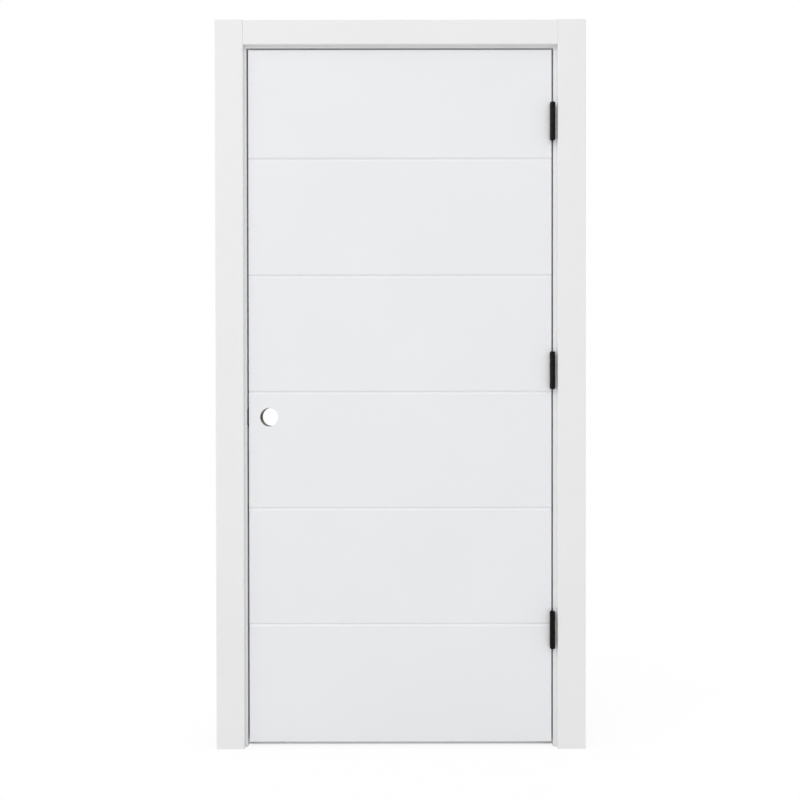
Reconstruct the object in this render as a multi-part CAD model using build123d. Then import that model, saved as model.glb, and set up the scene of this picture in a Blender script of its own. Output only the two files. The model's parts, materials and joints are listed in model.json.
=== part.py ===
from build123d import *
import os

# Prehung interior door: a flush leaf with V-grooves, hung on three butt hinges in a cased jamb.
# Millimetres. The origin is at floor level on the outer face of the hinge jamb, mid-way through the wall.
# +X points out of the hinge jamb, +Y from the opening side to the far side, +Z up.

# Leaf
LEAF_WIDTH = 889.0
LEAF_HEIGHT = 2032.0
LEAF_THICKNESS = 44.5
SKIN_THICKNESS = 6.0
LEAF_ARRIS = 1.0
LOCK_EDGE_BEVEL = 2.3
LOCK_STILE_WIDTH = 100.0
HINGE_STILE_WIDTH = 38.0
TOP_RAIL_HEIGHT = 50.0
BOTTOM_RAIL_HEIGHT = 75.0

# V-grooves across both faces, counted down from the top of the leaf
GROOVE_COUNT = 5
GROOVE_FIRST = 319.5
GROOVE_PITCH = 341.5
GROOVE_WIDTH = 10.0
GROOVE_DEPTH = 3.2

# Gaps round the leaf
LEAF_GAP = 5.0
STOP_GAP = 5.0
FLOOR_CLEARANCE = 15.0

# Jamb and stops
JAMB_THICKNESS = 19.0
JAMB_DEPTH = 116.0
JAMB_ARRIS = 1.5
HEAD_REBATE = 9.0
STOP_THICKNESS = 12.0
STOP_WIDTH = 35.0
STOP_ARRIS = 3.0

# Casing
CASING_WIDTH = 82.5
CASING_HEAD_HEIGHT = 72.0
CASING_THICKNESS = 14.3
CASING_ARRIS = 3.0
HINGE_REVEAL = 10.0
LATCH_REVEAL = 7.0
HEAD_REVEAL = 4.5

# Hinges, each placed by its middle below the top of the leaf, with the pin just to the leaf's side of the gap
HINGE_DROPS = {"top": 212.5, "middle": 939.0, "bottom": 1699.0}
HINGE_HEIGHT = 101.6
HINGE_PLATE_DEPTH = 36.0
HINGE_PLATE_THICKNESS = 3.4
HINGE_PLATE_CORNER = 15.9
KNUCKLE_COUNT = 5
KNUCKLE_GAP = 0.3
BARREL_DIAMETER = 15.8
BARREL_NOTCH = 0.8
PIN_OFFSET = 10.0
PIN_SHIFT = 1.5
PIN_DIAMETER = 9.0
PIN_CLEARANCE = 0.05
TIP_HEIGHT = 4.4
TIP_BEVEL = 2.0
MORTISE_CLEARANCE = 0.2

# Lock preparation
LOCK_DROP = 1075.5
LOCK_BACKSET = 60.3
LOCK_BORE_DIAMETER = 54.0
LATCH_BORE_DIAMETER = 25.4
FACEPLATE_HEIGHT = 57.2
FACEPLATE_WIDTH = 25.4
FACEPLATE_DEPTH = 3.2
FACEPLATE_CORNER = 6.3

# Strike plate and the pocket behind it
STRIKE_HEIGHT = 57.2
STRIKE_WIDTH = 28.6
STRIKE_THICKNESS = 1.6
STRIKE_CORNER = 6.3
STRIKE_LIP_HEIGHT = 44.0
STRIKE_HOLE_HEIGHT = 26.0
STRIKE_HOLE_WIDTH = 16.0
STRIKE_HOLE_CORNER = 2.0
POCKET_MARGIN = 1.0
POCKET_DEPTH = 15.0

# Planes that the pieces share
HINGE_FACE = -JAMB_THICKNESS
LEAF_RIGHT = HINGE_FACE - LEAF_GAP
LEAF_LEFT = LEAF_RIGHT - LEAF_WIDTH
LATCH_FACE = LEAF_LEFT - LEAF_GAP
LATCH_OUTER = LATCH_FACE - JAMB_THICKNESS
FRONT = -JAMB_DEPTH / 2
BACK = JAMB_DEPTH / 2
LEAF_BACK = FRONT + LEAF_THICKNESS
STOP_FRONT = LEAF_BACK + STOP_GAP
LEAF_BOTTOM = FLOOR_CLEARANCE
LEAF_TOP = LEAF_BOTTOM + LEAF_HEIGHT
HEAD_UNDER = LEAF_TOP + LEAF_GAP
HEAD_TOP = HEAD_UNDER + JAMB_THICKNESS
CORE_FRONT = FRONT + SKIN_THICKNESS
CORE_BACK = LEAF_BACK - SKIN_THICKNESS
CORE_LEFT = LEAF_LEFT + LOCK_STILE_WIDTH
CORE_RIGHT = LEAF_RIGHT - HINGE_STILE_WIDTH
CORE_BOTTOM = LEAF_BOTTOM + BOTTOM_RAIL_HEIGHT
CORE_TOP = LEAF_TOP - TOP_RAIL_HEIGHT
CASING_RIGHT = HINGE_FACE + HINGE_REVEAL
CASING_LEFT = LATCH_FACE - LATCH_REVEAL
CASING_UNDER = HEAD_UNDER + HEAD_REVEAL
CASING_TOP = CASING_UNDER + CASING_HEAD_HEIGHT
PIN_X = HINGE_FACE - LEAF_GAP / 2 - PIN_SHIFT
PIN_Y = FRONT - PIN_OFFSET
LOCK_X = LEAF_LEFT + LOCK_BACKSET
LOCK_Z = LEAF_TOP - LOCK_DROP
LATCH_Y = FRONT + LEAF_THICKNESS / 2
BARREL_RADIUS = BARREL_DIAMETER / 2
PIN_RADIUS = PIN_DIAMETER / 2
KNUCKLE_PITCH = HINGE_HEIGHT / KNUCKLE_COUNT
JAMB_KNUCKLES = range(0, KNUCKLE_COUNT, 2)
DOOR_KNUCKLES = range(1, KNUCKLE_COUNT, 2)

# How far a cutting tool reaches past the face that it opens
OVERCUT = 1.0


def block(x0, x1, y0, y1, z0, z1):
    """A box between two corners."""
    middle = Pos((x0 + x1) / 2, (y0 + y1) / 2, (z0 + z1) / 2)
    return middle * Box(abs(x1 - x0), abs(y1 - y0), abs(z1 - z0))


def upright(points, z0, z1, rounded=(), radius=0.0):
    """A plan outline raised from z0 to z1, with the corners named in rounded eased to a radius."""
    outline = make_face(Polyline(*points, close=True))
    corners = [outline.vertices().sort_by_distance((x, y, 0))[0] for x, y in rounded]
    if corners:
        outline = fillet(corners, radius)
    return extrude(Pos(0, 0, z0) * outline, amount=z1 - z0, dir=(0, 0, 1))


def side_plate(y0, y1, z0, z1, x0, thickness, corner, corner_ends):
    """A plate that lies in a side wall of the opening: its outline is in Y and Z, its thickness in X."""
    outline = Plane.YZ.offset(x0) * Pos((y0 + y1) / 2, (z0 + z1) / 2) * Rectangle(y1 - y0, z1 - z0)
    rounded = [v for v in outline.vertices() for y in corner_ends if abs(v.Y - y) < OVERCUT / 2]
    outline = fillet(rounded, corner)
    return extrude(outline, amount=thickness, dir=(1, 0, 0))


# Jambs

def side_jamb(inner, outer):
    """An upright of the jamb, rebated at its top for the end of the head."""
    inward = 1 if inner > outer else -1
    points = [(outer, FRONT), (inner, FRONT), (inner, BACK), (outer, BACK)]
    board = upright(points, 0, HEAD_TOP, [(inner, FRONT), (inner, BACK)], JAMB_ARRIS)
    rebate = block(
        inner - inward * HEAD_REBATE,
        inner + inward * OVERCUT,
        FRONT - OVERCUT,
        BACK + OVERCUT,
        HEAD_UNDER,
        HEAD_TOP + OVERCUT,
    )
    return board - rebate


def head_jamb():
    """The head of the jamb, let into both uprights."""
    board = block(LATCH_FACE - HEAD_REBATE, HINGE_FACE + HEAD_REBATE, FRONT, BACK, HEAD_UNDER, HEAD_TOP)
    under = board.edges().filter_by(Axis.X).group_by(Axis.Z)[0]
    return fillet(under, JAMB_ARRIS)


# Stops

def side_stop(face, inward):
    """A stop on an upright, below the head stop, with its far corner rounded."""
    inner = face + inward * STOP_THICKNESS
    far = STOP_FRONT + STOP_WIDTH
    points = [(face, STOP_FRONT), (inner, STOP_FRONT), (inner, far), (face, far)]
    return upright(points, 0, HEAD_UNDER - STOP_THICKNESS, [(inner, far)], STOP_ARRIS)


def head_stop():
    """The stop under the head, from upright to upright."""
    far = STOP_FRONT + STOP_WIDTH
    board = block(LATCH_FACE, HINGE_FACE, STOP_FRONT, far, HEAD_UNDER - STOP_THICKNESS, HEAD_UNDER)
    lower = board.edges().filter_by(Axis.X).group_by(Axis.Z)[0]
    return fillet(lower.sort_by(Axis.Y)[-1], STOP_ARRIS)


# Casing

def casing_leg(inner, outward, wall, proud):
    """A full-height leg against one face of the wall, its two front arrises eased."""
    outer = inner + outward * CASING_WIDTH
    face = wall + proud * CASING_THICKNESS
    points = [(inner, wall), (outer, wall), (outer, face), (inner, face)]
    return upright(points, 0, CASING_TOP, [(inner, face), (outer, face)], CASING_ARRIS)


def casing_head(wall, proud):
    """The head piece, square-cut between the legs."""
    face = wall + proud * CASING_THICKNESS
    board = block(CASING_LEFT, CASING_RIGHT, wall, face, CASING_UNDER, CASING_TOP)
    long_edges = board.edges().filter_by(Axis.X).sort_by(Axis.Y)
    front_pair = long_edges[:2] if proud < 0 else long_edges[-2:]
    return fillet(front_pair, CASING_ARRIS)


# Hinges

def hinge_middle(drop):
    return LEAF_TOP - drop


def hinge_mortise(drop, x0, extra):
    """The recess for a hinge plate, open to the front, with its far corners rounded."""
    middle = hinge_middle(drop)
    half = HINGE_HEIGHT / 2 + MORTISE_CLEARANCE
    far = FRONT + HINGE_PLATE_DEPTH + MORTISE_CLEARANCE
    return side_plate(
        FRONT - PIN_OFFSET, far, middle - half, middle + half, x0, HINGE_PLATE_THICKNESS + extra,
        HINGE_PLATE_CORNER + MORTISE_CLEARANCE, [far],
    )


def hinge_leaf(drop, plate_x0, own_knuckles):
    """A hinge plate with the knuckles that it carries, bored for the pin."""
    middle = hinge_middle(drop)
    low = middle - HINGE_HEIGHT / 2
    high = middle + HINGE_HEIGHT / 2
    plate_front = PIN_Y + BARREL_RADIUS + BARREL_NOTCH
    far = FRONT + HINGE_PLATE_DEPTH
    leaf = side_plate(plate_front, far, low, high, plate_x0, HINGE_PLATE_THICKNESS, HINGE_PLATE_CORNER, [far])
    for index in own_knuckles:
        z0 = low + index * KNUCKLE_PITCH + KNUCKLE_GAP / 2
        z1 = low + (index + 1) * KNUCKLE_PITCH - KNUCKLE_GAP / 2
        roll = Pos(PIN_X, PIN_Y, (z0 + z1) / 2) * Cylinder(BARREL_RADIUS, z1 - z0)
        web = block(plate_x0, plate_x0 + HINGE_PLATE_THICKNESS, PIN_Y, plate_front, z0, z1)
        leaf += roll + web
    bore = Pos(PIN_X, PIN_Y, middle) * Cylinder(PIN_RADIUS + PIN_CLEARANCE, HINGE_HEIGHT + OVERCUT)
    return leaf - bore


def hinge_pin(drop):
    """A pin the length of the barrel, with a button tip of the barrel's width at each end."""
    seat = HINGE_HEIGHT / 2
    end = seat + TIP_HEIGHT
    upper = [
        (PIN_RADIUS, seat),
        (BARREL_RADIUS, seat),
        (BARREL_RADIUS, end - TIP_BEVEL),
        (BARREL_RADIUS - TIP_BEVEL, end),
        (0, end),
    ]
    lower = [(radius, -height) for radius, height in reversed(upper)]
    section = make_face(Polyline(*[(radius, 0, height) for radius, height in upper + lower], close=True))
    return Pos(PIN_X, PIN_Y, hinge_middle(drop)) * revolve(section, Axis.Z)


# Strike

def strike_outline(clearance, x0, thickness):
    """The strike plate's body and its lip, which runs out to the front edge of the jamb."""
    half_width = STRIKE_WIDTH / 2 + clearance
    half_height = STRIKE_HEIGHT / 2 + clearance
    near = LATCH_Y - half_width
    far = LATCH_Y + half_width
    body = side_plate(
        near, far, LOCK_Z - half_height, LOCK_Z + half_height, x0, thickness, STRIKE_CORNER, [near, far]
    )
    lip_half = STRIKE_LIP_HEIGHT / 2 + clearance
    lip = block(x0, x0 + thickness, FRONT + JAMB_ARRIS, LATCH_Y, LOCK_Z - lip_half, LOCK_Z + lip_half)
    return body + lip


def strike_hole(margin, x0, thickness):
    """The rounded window for the latch bolt, or with a margin the pocket behind it."""
    half_width = STRIKE_HOLE_WIDTH / 2 + margin
    half_height = STRIKE_HOLE_HEIGHT / 2 + margin
    near = LATCH_Y - half_width
    far = LATCH_Y + half_width
    return side_plate(
        near, far, LOCK_Z - half_height, LOCK_Z + half_height, x0, thickness, STRIKE_HOLE_CORNER, [near, far]
    )


def strike_plate():
    """The strike plate, flush with the face of the latch jamb."""
    seat = LATCH_FACE - STRIKE_THICKNESS
    window = strike_hole(0, seat - OVERCUT, STRIKE_THICKNESS + 2 * OVERCUT)
    return strike_outline(0, seat, STRIKE_THICKNESS) - window


def latch_jamb():
    """The latch upright, recessed for the strike plate and cut with a pocket for the bolt."""
    seat = LATCH_FACE - STRIKE_THICKNESS
    jamb = side_jamb(LATCH_FACE, LATCH_OUTER)
    jamb -= strike_outline(MORTISE_CLEARANCE, seat, STRIKE_THICKNESS + OVERCUT)
    return jamb - strike_hole(POCKET_MARGIN, LATCH_FACE - POCKET_DEPTH, POCKET_DEPTH + OVERCUT)


def hinge_jamb():
    """The hinge upright, recessed for the three hinge plates."""
    jamb = side_jamb(HINGE_FACE, 0)
    for drop in HINGE_DROPS.values():
        jamb -= hinge_mortise(drop, HINGE_FACE - OVERCUT, OVERCUT)
    return jamb


# Leaf

def leaf_slab(y0, y1, x0, x1, z0, z1):
    """A part of the leaf between two depths, trimmed to the bevelled lock edge."""
    near_edge = [(LEAF_LEFT, FRONT), (LEAF_RIGHT, FRONT)]
    far_edge = [(LEAF_RIGHT, LEAF_BACK), (LEAF_LEFT + LOCK_EDGE_BEVEL, LEAF_BACK)]
    envelope = upright(near_edge + far_edge, LEAF_BOTTOM, LEAF_TOP)
    return envelope & block(x0, x1, y0, y1, z0, z1)


def lock_bore():
    """The cross bore for a lockset, through the whole leaf."""
    length = LEAF_THICKNESS + 2 * OVERCUT
    return Pos(LOCK_X, LATCH_Y, LOCK_Z) * Rot(90, 0, 0) * Cylinder(LOCK_BORE_DIAMETER / 2, length)


def skin(face, inward):
    """A face board with its arrises eased, V-grooved across and bored for the lock."""
    inner = face + inward * SKIN_THICKNESS
    board = leaf_slab(min(face, inner), max(face, inner), LEAF_LEFT, LEAF_RIGHT, LEAF_BOTTOM, LEAF_TOP)
    shown = board.faces().sort_by(Axis.Y)[0 if inward > 0 else -1]
    board = chamfer(shown.edges(), LEAF_ARRIS)
    slope = GROOVE_WIDTH / 2 / GROOVE_DEPTH
    mouth = GROOVE_WIDTH / 2 + slope * OVERCUT
    for index in range(GROOVE_COUNT):
        z = LEAF_TOP - GROOVE_FIRST - index * GROOVE_PITCH
        lip = face - inward * OVERCUT
        section = make_face(
            Polyline(
                (0, lip, z - mouth),
                (0, face + inward * GROOVE_DEPTH, z),
                (0, lip, z + mouth),
                close=True,
            )
        )
        start = Pos(LEAF_LEFT - OVERCUT, 0, 0)
        board -= extrude(start * section, amount=LEAF_WIDTH + 2 * OVERCUT, dir=(1, 0, 0))
    return board - lock_bore()


def cut_for_hinges(piece):
    """The leaf's hinge edge, recessed for the three hinge plates."""
    for drop in HINGE_DROPS.values():
        piece -= hinge_mortise(drop, LEAF_RIGHT - HINGE_PLATE_THICKNESS, OVERCUT)
    return piece


def lock_stile():
    """The wide stile at the lock edge, cross-bored, edge-bored and recessed for a latch faceplate."""
    stile = leaf_slab(CORE_FRONT, CORE_BACK, LEAF_LEFT, CORE_LEFT, LEAF_BOTTOM, LEAF_TOP)
    edge = LEAF_LEFT + LOCK_EDGE_BEVEL / 2
    half_width = FACEPLATE_WIDTH / 2
    half_height = FACEPLATE_HEIGHT / 2
    recess = side_plate(
        LATCH_Y - half_width, LATCH_Y + half_width, LOCK_Z - half_height, LOCK_Z + half_height,
        LEAF_LEFT - OVERCUT, edge + FACEPLATE_DEPTH - LEAF_LEFT + OVERCUT,
        FACEPLATE_CORNER, [LATCH_Y - half_width, LATCH_Y + half_width],
    )
    edge_bore = Cylinder(LATCH_BORE_DIAMETER / 2, LOCK_BACKSET, align=(Align.CENTER, Align.CENTER, Align.MIN))
    return stile - recess - Pos(LEAF_LEFT, LATCH_Y, LOCK_Z) * Rot(0, 90, 0) * edge_bore - lock_bore()


def core_piece(x0, x1, z0, z1):
    return leaf_slab(CORE_FRONT, CORE_BACK, x0, x1, z0, z1)


nodes = {
    "hinge_jamb": hinge_jamb(),
    "latch_jamb": latch_jamb(),
    "head_jamb": head_jamb(),
    "hinge_stop": side_stop(HINGE_FACE, -1),
    "latch_stop": side_stop(LATCH_FACE, 1),
    "head_stop": head_stop(),
    "front_casing_hinge_leg": casing_leg(CASING_RIGHT, 1, FRONT, -1),
    "front_casing_latch_leg": casing_leg(CASING_LEFT, -1, FRONT, -1),
    "front_casing_head": casing_head(FRONT, -1),
    "back_casing_hinge_leg": casing_leg(CASING_RIGHT, 1, BACK, 1),
    "back_casing_latch_leg": casing_leg(CASING_LEFT, -1, BACK, 1),
    "back_casing_head": casing_head(BACK, 1),
    "strike_plate": strike_plate(),
    "leaf_front_skin": cut_for_hinges(skin(FRONT, 1)),
    "leaf_back_skin": skin(LEAF_BACK, -1),
    "leaf_lock_stile": lock_stile(),
    "leaf_hinge_stile": cut_for_hinges(core_piece(CORE_RIGHT, LEAF_RIGHT, LEAF_BOTTOM, LEAF_TOP)),
    "leaf_top_rail": core_piece(CORE_LEFT, CORE_RIGHT, CORE_TOP, LEAF_TOP),
    "leaf_bottom_rail": core_piece(CORE_LEFT, CORE_RIGHT, LEAF_BOTTOM, CORE_BOTTOM),
    "leaf_core": core_piece(CORE_LEFT, CORE_RIGHT, CORE_BOTTOM, CORE_TOP),
}
for name, drop in HINGE_DROPS.items():
    nodes[f"{name}_hinge_jamb_leaf"] = hinge_leaf(drop, HINGE_FACE, JAMB_KNUCKLES)
    nodes[f"{name}_hinge_door_leaf"] = hinge_leaf(drop, LEAF_RIGHT - HINGE_PLATE_THICKNESS, DOOR_KNUCKLES)
    nodes[f"{name}_hinge_pin"] = hinge_pin(drop)

os.makedirs("parts", exist_ok=True)
for name, piece in nodes.items():
    export_step(piece, f"parts/{name}.step")
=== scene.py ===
import json
import math

import bmesh
import bpy
from mathutils import Euler, Matrix, Vector
from mathutils.geometry import tessellate_polygon


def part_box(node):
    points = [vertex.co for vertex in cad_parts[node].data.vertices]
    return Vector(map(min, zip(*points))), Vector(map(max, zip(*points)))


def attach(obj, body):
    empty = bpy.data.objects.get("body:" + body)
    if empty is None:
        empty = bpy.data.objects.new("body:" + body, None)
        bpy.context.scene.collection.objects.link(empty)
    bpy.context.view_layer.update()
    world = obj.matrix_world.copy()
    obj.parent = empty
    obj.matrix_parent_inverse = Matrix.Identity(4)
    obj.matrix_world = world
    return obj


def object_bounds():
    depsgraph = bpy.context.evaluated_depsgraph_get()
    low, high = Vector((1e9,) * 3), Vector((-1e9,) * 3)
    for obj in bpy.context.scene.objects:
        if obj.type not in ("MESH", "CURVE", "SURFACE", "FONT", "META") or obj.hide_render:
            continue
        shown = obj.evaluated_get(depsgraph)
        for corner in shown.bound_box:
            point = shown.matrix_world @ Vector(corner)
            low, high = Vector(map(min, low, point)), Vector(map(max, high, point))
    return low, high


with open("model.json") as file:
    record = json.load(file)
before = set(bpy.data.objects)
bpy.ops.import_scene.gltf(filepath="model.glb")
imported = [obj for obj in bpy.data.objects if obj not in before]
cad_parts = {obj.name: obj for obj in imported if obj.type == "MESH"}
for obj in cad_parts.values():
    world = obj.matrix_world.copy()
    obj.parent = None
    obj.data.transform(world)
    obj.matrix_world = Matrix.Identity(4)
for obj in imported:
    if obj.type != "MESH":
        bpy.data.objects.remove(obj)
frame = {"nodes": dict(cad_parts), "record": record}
cad_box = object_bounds()
nodes = frame["nodes"]
mounts = {mount["name"]: mount for mount in frame["record"]["mounts"]}

# Prehung interior door: painted leaf and trim, satin black hinges and strike, bare board inside the bores.
# Metres and degrees, in the part's own frame: the front faces -Y and the hinges are at +X.

# Textures: the stretch of a noise that holds nearly all of its values
NOISE_RANGE = (0.3, 0.7)

# Paint
LEAF_COLOUR = (0.80, 0.808, 0.826)
TRIM_COLOUR = (0.80, 0.80, 0.80)
PAINT_ROUGHNESS = (0.50, 0.60)
PAINT_SPECULAR = 0.3
PAINT_BUMP_STRENGTH = 0.25
PAINT_BUMP_DEPTH = 0.00012
CLOUD_SCALE = 3.5
CLOUD_DETAIL = 3.0
CLOUD_TONES = (0.988, 1.010)
STIPPLE_SCALE = 420.0
STIPPLE_RANGE = (0.35, 0.65)
STIPPLE_STRENGTH = 0.5
STIPPLE_HEIGHT = 0.6
PEEL_SCALE = 90.0

# Bare board
BOARD_DARK = (0.15, 0.132, 0.112)
BOARD_LIGHT = (0.34, 0.305, 0.26)
BOARD_RANGE = (0.40, 0.80)
BOARD_ROUGHNESS = 0.85
BOARD_BUMP_STRENGTH = 0.6
BOARD_BUMP_DEPTH = 0.0004
CHIP_SCALE = 260.0
CHIP_DETAIL = 4.0
CHIP_ROUGHNESS = 0.65
CHIP_HEIGHT = 6.0
FLAKE_SCALE = 340.0
FLAKE_SHARE = 0.35

# Black steel
STEEL_COLOUR = (0.003, 0.003, 0.0032)
STEEL_RUBBED = (0.045, 0.044, 0.042)
STEEL_ROUGHNESS = (0.25, 0.35)
STEEL_SPECULAR = 0.1
STEEL_BUMP_STRENGTH = 0.2
STEEL_BUMP_DEPTH = 0.00005
GRAIN_SCALE = 1400.0
SHEEN_SCALE = 60.0
SHEEN_DETAIL = 3.0
RUB_RADIUS = 0.0007
RUB_SAMPLES = 4
RUB_FACING = (0.98, 0.80)
RUB_PATCHES = (0.35, 0.75)

# Bare board in the leaf: margin round the lock bore, half sizes of the faceplate recess, paint at its edge
BORE_MARGIN = 0.0002
FACEPLATE_HALF_WIDTH = 0.0129
FACEPLATE_HALF_HEIGHT = 0.0288
FACEPLATE_SKIN = 0.0018

# Bare board in the strike pocket: paint left at the back of the jamb, and at its face
POCKET_BACK = 0.002
POCKET_SKIN = 0.0005

# Screw sizes, and places on a hinge plate as inset from its +Y edge and rise from its middle
HEAD_RADIUS = 0.0043
HEAD_HEIGHT = 0.0005
HEAD_BEVEL = 0.0004
HEAD_SIDES = 32
CROSS_REACH = 0.0024
CROSS_HALF_WIDTH = 0.00055
CROSS_TAPER = 0.65
CROSS_FLOOR = 0.00008
CROSS_FIRST_TURN = 20.0
CROSS_NEXT_TURN = 37.0
HINGE_SCREWS = ((0.010, -0.033), (0.023, 0.0), (0.010, 0.033))
STRIKE_SCREW_OFFSET = 0.02065

# Camera, at the photograph's viewpoint
CAMERA_PLACE = (-0.469, -2.258, 1.037)
CAMERA_TILT = (89.6, 0.0, 0.0)
CAMERA_ROLL = -0.067
CAMERA_LENS = 33.714

# Light
WHITE = (1.0, 1.0, 1.0)
AMBIENT = 0.9
KEY_AZIMUTH = 35.0
KEY_ELEVATION = 45.0
KEY_DISTANCE = 14.0
KEY_SIZE = (20.0, 5.0)
KEY_POWER = 600.0
STRIP_AZIMUTH = 40.0
STRIP_ELEVATION = 15.0
STRIP_DISTANCE = 5.0
STRIP_SIZE = (2.0, 4.0)
STRIP_POWER = 110.0

# Floor, and the share of the shadow that shows on it: near is under the leaf, and far fades to none
FLOOR_REACH = 40.0
FLOOR_COLOUR = (0.80, 0.80, 0.80)
SHADED_COLOUR = (0.95, 0.95, 0.95)
SHADE_SETBACK = 0.023
SHADE_NEAR = 1.0
SHADE_NEAR_REACH = 0.006
SHADE_FAR = 0.15
SHADE_FAR_REACH = 1.2


# Shader nodes

def add(tree, kind, inputs=(), **settings):
    """A shader node. An input is a value, or the output socket that feeds it."""
    made = tree.nodes.new("ShaderNode" + kind)
    for key, value in settings.items():
        setattr(made, key, value)
    for key, value in dict(inputs).items():
        if isinstance(value, bpy.types.NodeSocket):
            tree.links.new(value, made.inputs[key])
        else:
            made.inputs[key].default_value = value
    return made


def math_node(tree, operation, first, second=0.0):
    return add(tree, "Math", {0: first, 1: second}, operation=operation).outputs[0]


def vector_node(tree, operation, first, second=(0.0, 0.0, 0.0)):
    return add(tree, "VectorMath", {0: first, 1: second}, operation=operation)


def opaque(colour):
    return (*colour, 1.0)


def mix_colour(tree, factor, first, second):
    """Colours are sockets or RGB values."""
    first, second = (opaque(c) if isinstance(c, tuple) else c for c in (first, second))
    return add(tree, "Mix", {0: factor, 6: first, 7: second}, data_type="RGBA").outputs[2]


def mix_value(tree, factor, first, second):
    return add(tree, "Mix", {0: factor, 2: first, 3: second}).outputs[0]


def mix_shader(tree, factor, first, second):
    return add(tree, "MixShader", {0: factor, 1: first, 2: second}).outputs[0]


def noise(tree, place, scale, detail=2.0, roughness=0.5):
    inputs = {"Vector": place, "Scale": scale, "Detail": detail, "Roughness": roughness}
    return add(tree, "TexNoise", inputs).outputs["Fac"]


def spread(tree, value, low, high, to_low=0.0, to_high=1.0):
    """A value between low and high, brought to another range and held there."""
    inputs = {"Value": value, "From Min": low, "From Max": high, "To Min": to_low, "To Max": to_high}
    return add(tree, "MapRange", inputs).outputs["Result"]


def bumped(tree, height, strength, depth):
    return add(tree, "Bump", {"Strength": strength, "Distance": depth, "Height": height}).outputs["Normal"]


def from_middle(tree, place, low, high):
    """A point's distance along each axis from the middle of two corners, and half their spacing."""
    offset = vector_node(tree, "SUBTRACT", place, (low + high) / 2).outputs[0]
    return vector_node(tree, "ABSOLUTE", offset).outputs[0], (high - low) / 2


def new_material(name):
    material = bpy.data.materials.new(name)
    material.use_nodes = True
    tree = material.node_tree
    tree.nodes.clear()
    place = add(tree, "TexCoord").outputs["Object"]
    return material, tree, place


def surface(tree, shader):
    add(tree, "OutputMaterial", {"Surface": shader})


# Places where bare board shows, as masks in the part's frame

def inside_box(tree, place, low, high):
    """1 where the point lies between two corners."""
    away, half = from_middle(tree, place, low, high)
    ratio = vector_node(tree, "DIVIDE", away, half).outputs[0]
    x, y, z = add(tree, "SeparateXYZ", {0: ratio}).outputs
    largest = math_node(tree, "MAXIMUM", math_node(tree, "MAXIMUM", x, y), z)
    return math_node(tree, "LESS_THAN", largest, 1.0)


def lock_mask(tree, place):
    """The wall of the cross bore, the latch bore and the faceplate recess."""
    bore = mounts["lock_bore"]
    centre = Vector(bore["pos_m"])
    radius = bore["dims"]["r_mm"] / 1000
    offset = vector_node(tree, "SUBTRACT", place, centre).outputs[0]
    flat = vector_node(tree, "MULTIPLY", offset, (1.0, 0.0, 1.0)).outputs[0]
    reach = vector_node(tree, "LENGTH", flat).outputs["Value"]
    in_bore = math_node(tree, "LESS_THAN", reach, radius + BORE_MARGIN)
    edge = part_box("leaf_lock_stile")[0].x + FACEPLATE_SKIN
    half = Vector((0.0, FACEPLATE_HALF_WIDTH, FACEPLATE_HALF_HEIGHT))
    low = Vector((edge, centre.y, centre.z)) - half
    high = centre + half
    return math_node(tree, "MAXIMUM", in_bore, inside_box(tree, place, low, high))


def strike_mask(tree, place):
    """The walls of the pocket behind the strike plate."""
    low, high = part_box("strike_plate")
    jamb_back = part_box("latch_jamb")[0].x
    deep = Vector((jamb_back + POCKET_BACK, low.y, low.z))
    shallow = Vector((high.x - POCKET_SKIN, high.y, high.z))
    return inside_box(tree, place, deep, shallow)


# Finishes

def board_look(tree, place):
    """Colour and height of bare fibreboard: pressed chips, with lighter and darker flakes."""
    chips = noise(tree, place, CHIP_SCALE, CHIP_DETAIL, CHIP_ROUGHNESS)
    flakes = add(tree, "TexVoronoi", {"Vector": place, "Scale": FLAKE_SCALE}).outputs["Distance"]
    mixed = math_node(tree, "ADD", chips, math_node(tree, "MULTIPLY", flakes, FLAKE_SHARE))
    tone = spread(tree, mixed, *BOARD_RANGE)
    return mix_colour(tree, tone, BOARD_DARK, BOARD_LIGHT), chips


def paint(name, colour, bare_mask):
    """Rolled satin paint, faintly clouded and stippled, with bare board where the mask says so."""
    material, tree, place = new_material(name)
    clouds = noise(tree, place, CLOUD_SCALE, CLOUD_DETAIL)
    stipple = noise(tree, place, STIPPLE_SCALE)
    peel = noise(tree, place, PEEL_SCALE)
    darker, lighter = (tuple(tone * c for c in colour) for tone in CLOUD_TONES)
    coat = mix_colour(tree, spread(tree, clouds, *NOISE_RANGE), darker, lighter)
    coat = mix_colour(tree, spread(tree, stipple, *STIPPLE_RANGE, 0.0, STIPPLE_STRENGTH), coat, colour)
    coat_roughness = spread(tree, peel, *NOISE_RANGE, *PAINT_ROUGHNESS)
    coat_height = math_node(tree, "ADD", math_node(tree, "MULTIPLY", stipple, STIPPLE_HEIGHT), peel)
    board, chips = board_look(tree, place)
    board_height = math_node(tree, "MULTIPLY", chips, CHIP_HEIGHT)
    bare = bare_mask(tree, place)
    height = mix_value(tree, bare, coat_height, board_height)
    shader = add(tree, "BsdfPrincipled", {
        "Base Color": mix_colour(tree, bare, coat, board),
        "Roughness": mix_value(tree, bare, coat_roughness, BOARD_ROUGHNESS),
        "Specular IOR Level": PAINT_SPECULAR,
        "Normal": bumped(tree, height, PAINT_BUMP_STRENGTH, PAINT_BUMP_DEPTH),
    })
    surface(tree, shader.outputs[0])
    return material


def bare_board(name):
    """The leaf's core, bare all over."""
    material, tree, place = new_material(name)
    colour, height = board_look(tree, place)
    shader = add(tree, "BsdfPrincipled", {
        "Base Color": colour,
        "Roughness": BOARD_ROUGHNESS,
        "Normal": bumped(tree, height, BOARD_BUMP_STRENGTH, BOARD_BUMP_DEPTH),
    })
    surface(tree, shader.outputs[0])
    return material


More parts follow.
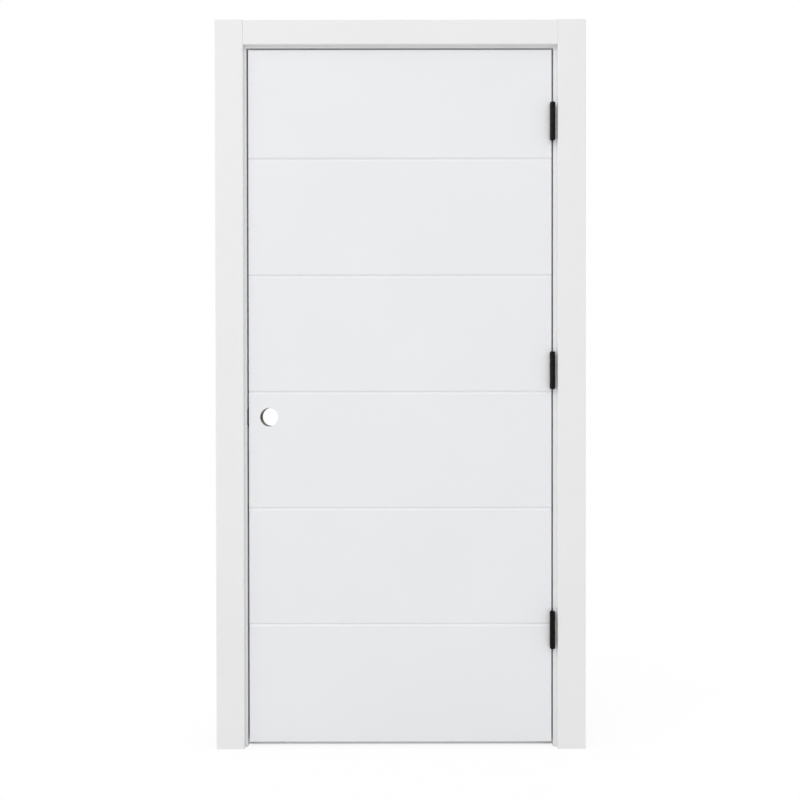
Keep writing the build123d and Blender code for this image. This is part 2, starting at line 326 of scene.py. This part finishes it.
def black_steel(name):
    """Powder-coated steel: a fine grain, slightly uneven sheen, and rubbed arrises."""
    material, tree, place = new_material(name)
    grain = noise(tree, place, GRAIN_SCALE)
    sheen = noise(tree, place, SHEEN_SCALE, SHEEN_DETAIL)
    eased = add(tree, "Bevel", {"Radius": RUB_RADIUS}, samples=RUB_SAMPLES).outputs[0]
    flat = add(tree, "NewGeometry").outputs["Normal"]
    facing = vector_node(tree, "DOT_PRODUCT", eased, flat).outputs["Value"]
    arris = spread(tree, facing, *RUB_FACING)
    rubbed = math_node(tree, "MULTIPLY", arris, spread(tree, sheen, *RUB_PATCHES))
    shader = add(tree, "BsdfPrincipled", {
        "Base Color": mix_colour(tree, rubbed, STEEL_COLOUR, STEEL_RUBBED),
        "Roughness": spread(tree, sheen, *NOISE_RANGE, *STEEL_ROUGHNESS),
        "Specular IOR Level": STEEL_SPECULAR,
        "Normal": bumped(tree, grain, STEEL_BUMP_STRENGTH, STEEL_BUMP_DEPTH),
    })
    surface(tree, shader.outputs[0])
    return material


finishes = {
    "trim_paint": paint("trim_paint_finish", TRIM_COLOUR, strike_mask),
    "leaf_paint": paint("leaf_paint_finish", LEAF_COLOUR, lock_mask),
    "raw_core": bare_board("raw_core_finish"),
    "black_steel": black_steel("black_steel_finish"),
}
for node in nodes.values():
    slot = node.material_slots[0]
    slot.material = finishes[slot.material.name]


# Screw heads

def cross_outline(reach, half_width, height):
    """The plus-shaped outline of a cross recess, counter-clockwise."""
    quarter = [(reach, -half_width), (reach, half_width), (half_width, half_width)]
    turns = [Matrix.Rotation(math.radians(90 * turn), 3, "Z") for turn in range(4)]
    return [turn @ Vector((x, y, height)) for turn in turns for x, y in quarter]


def ring(radius, height):
    angles = [2 * math.pi * side / HEAD_SIDES for side in range(HEAD_SIDES)]
    return [Vector((radius * math.cos(a), radius * math.sin(a), height)) for a in angles]


def wall(mesh, lower, upper):
    """Quads between two loops of the same length."""
    for here in range(len(lower)):
        there = (here + 1) % len(lower)
        mesh.faces.new((lower[here], lower[there], upper[there], upper[here]))


def screw_head(mesh, place):
    """A flat head with a bevelled rim and a tapered cross recess."""
    loops = (
        ring(HEAD_RADIUS, 0.0),
        ring(HEAD_RADIUS - HEAD_BEVEL, HEAD_HEIGHT),
        cross_outline(CROSS_REACH, CROSS_HALF_WIDTH, HEAD_HEIGHT),
        cross_outline(CROSS_REACH * CROSS_TAPER, CROSS_HALF_WIDTH * CROSS_TAPER, CROSS_FLOOR),
    )
    foot, rim, mouth, floor = ([mesh.verts.new(place @ point) for point in loop] for loop in loops)
    wall(mesh, foot, rim)
    wall(mesh, floor, mouth)
    top = rim + mouth
    for corners in tessellate_polygon([loops[1], loops[2]]):
        mesh.faces.new([top[corner] for corner in corners])
    mesh.faces.new(floor)


def screws(name, face, outward, places, body):
    """The screws of one plate, which faces along X: outward is 1 or -1, and each place is a Y and a Z."""
    mesh = bmesh.new()
    turn = Matrix.Rotation(math.radians(90 * outward), 4, "Y")
    for index, (y, z) in enumerate(places):
        spin = Matrix.Rotation(math.radians(CROSS_FIRST_TURN + CROSS_NEXT_TURN * index), 4, "Z")
        screw_head(mesh, Matrix.Translation((face, y, z)) @ turn @ spin)
    bmesh.ops.recalc_face_normals(mesh, faces=mesh.faces)
    data = bpy.data.meshes.new(name)
    mesh.to_mesh(data)
    mesh.free()
    data.materials.append(finishes["black_steel"])
    piece = bpy.data.objects.new(name, data)
    bpy.context.scene.collection.objects.link(piece)
    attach(piece, body)


jamb_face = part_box("hinge_jamb")[0].x
door_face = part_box("leaf_hinge_stile")[1].x
for position in ("top", "middle", "bottom"):
    low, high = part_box(f"{position}_hinge_jamb_leaf")
    middle = (low.z + high.z) / 2
    places = [(high.y - inset, middle + rise) for inset, rise in HINGE_SCREWS]
    screws(f"{position}_hinge_jamb_screws", jamb_face, -1, places, "frame")
    screws(f"{position}_hinge_door_screws", door_face, 1, places, "door")

strike_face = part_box("strike_plate")[1].x
latch_axis = Vector(mounts["latch_bore"]["pos_m"])
strike_places = [(latch_axis.y, latch_axis.z + side * STRIKE_SCREW_OFFSET) for side in (-1, 1)]
screws("strike_screws", strike_face, 1, strike_places, "frame")


# Studio

def seen_directly(tree):
    """1 for rays that show the surroundings: to the camera, in a reflection or through glass."""
    path = add(tree, "LightPath").outputs
    seen = math_node(tree, "MAXIMUM", path["Is Camera Ray"], path["Is Glossy Ray"])
    return math_node(tree, "MAXIMUM", seen, path["Is Transmission Ray"])


def white_world():
    world = bpy.data.worlds.new("studio")
    world.use_nodes = True
    tree = world.node_tree
    tree.nodes.clear()
    light = add(tree, "Background", {"Color": opaque(WHITE), "Strength": AMBIENT}).outputs[0]
    shown = add(tree, "Background", {"Color": opaque(WHITE), "Strength": 1.0}).outputs[0]
    add(tree, "OutputWorld", {"Surface": mix_shader(tree, seen_directly(tree), light, shown)})
    bpy.context.scene.world = world


def shadow_share(tree, place):
    """How much of the shadow shows on the floor: fully under the leaf, faintly round about."""
    leaf_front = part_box("leaf_front_skin")[0].y
    leaf_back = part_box("leaf_back_skin")[1].y
    left, right = (corner.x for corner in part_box("head_stop"))
    low = Vector((left, leaf_front + SHADE_SETBACK, 0.0))
    high = Vector((right, leaf_back, 0.0))
    away, half = from_middle(tree, place, low, high)
    beyond = vector_node(tree, "SUBTRACT", away, half).outputs[0]
    outside = vector_node(tree, "MAXIMUM", beyond).outputs[0]
    reach = vector_node(tree, "LENGTH", outside).outputs["Value"]
    ramp = add(tree, "ValToRGB", {"Fac": spread(tree, reach, 0.0, SHADE_FAR_REACH)})
    stops = ramp.color_ramp.elements
    stops[0].color = opaque((SHADE_NEAR,) * 3)
    stops[1].color = opaque((0.0,) * 3)
    stops.new(SHADE_NEAR_REACH / SHADE_FAR_REACH).color = opaque((SHADE_FAR,) * 3)
    return ramp.outputs["Color"]


def floor_material():
    """A pale floor that reads white, and keeps the shadow."""
    material, tree, place = new_material("floor_finish")
    white = add(tree, "Emission", {"Color": opaque(WHITE), "Strength": 1.0}).outputs[0]
    shaded = add(tree, "BsdfDiffuse", {"Color": opaque(SHADED_COLOUR)}).outputs[0]
    shown = mix_shader(tree, shadow_share(tree, place), white, shaded)
    plain = add(tree, "BsdfDiffuse", {"Color": opaque(FLOOR_COLOUR)}).outputs[0]
    surface(tree, mix_shader(tree, seen_directly(tree), plain, shown))
    return material


def make_floor():
    mesh = bmesh.new()
    bmesh.ops.create_grid(mesh, x_segments=1, y_segments=1, size=FLOOR_REACH)
    data = bpy.data.meshes.new("floor")
    mesh.to_mesh(data)
    mesh.free()
    data.materials.append(floor_material())
    floor = bpy.data.objects.new("floor", data)
    bpy.context.scene.collection.objects.link(floor)


def make_lamp(name, azimuth, elevation, distance, size, power):
    """A rectangular lamp that faces the object's middle. Azimuth counts from the front to the left."""
    lamp = bpy.data.lights.new(name, "AREA")
    lamp.shape = "RECTANGLE"
    lamp.size, lamp.size_y = size
    lamp.energy = power
    holder = bpy.data.objects.new(name, lamp)
    turn = Matrix.Rotation(math.radians(-azimuth), 3, "Z")
    rise = Matrix.Rotation(math.radians(-elevation), 3, "X")
    offset = turn @ rise @ Vector((0.0, -distance, 0.0))
    holder.location = (cad_box[0] + cad_box[1]) / 2 + offset
    holder.rotation_euler = (-offset).to_track_quat("-Z", "Y").to_euler()
    bpy.context.scene.collection.objects.link(holder)
    return holder


def make_lamps():
    """A soft key light, and a strip that shows only in reflections, as the sheen on the hinges."""
    make_lamp("key_light", KEY_AZIMUTH, KEY_ELEVATION, KEY_DISTANCE, KEY_SIZE, KEY_POWER)
    strip = make_lamp("strip_light", STRIP_AZIMUTH, STRIP_ELEVATION, STRIP_DISTANCE, STRIP_SIZE, STRIP_POWER)
    strip.visible_diffuse = False


def make_camera():
    lens = bpy.data.cameras.new("camera")
    lens.lens = CAMERA_LENS
    camera = bpy.data.objects.new("camera", lens)
    tilt = Euler([math.radians(angle) for angle in CAMERA_TILT]).to_matrix().to_4x4()
    roll = Matrix.Rotation(math.radians(CAMERA_ROLL), 4, "Z")
    camera.matrix_world = Matrix.Translation(CAMERA_PLACE) @ tilt @ roll
    bpy.context.scene.collection.objects.link(camera)
    bpy.context.scene.camera = camera


white_world()
make_floor()
make_lamps()
make_camera()
bpy.context.scene.view_settings.view_transform = "Standard"
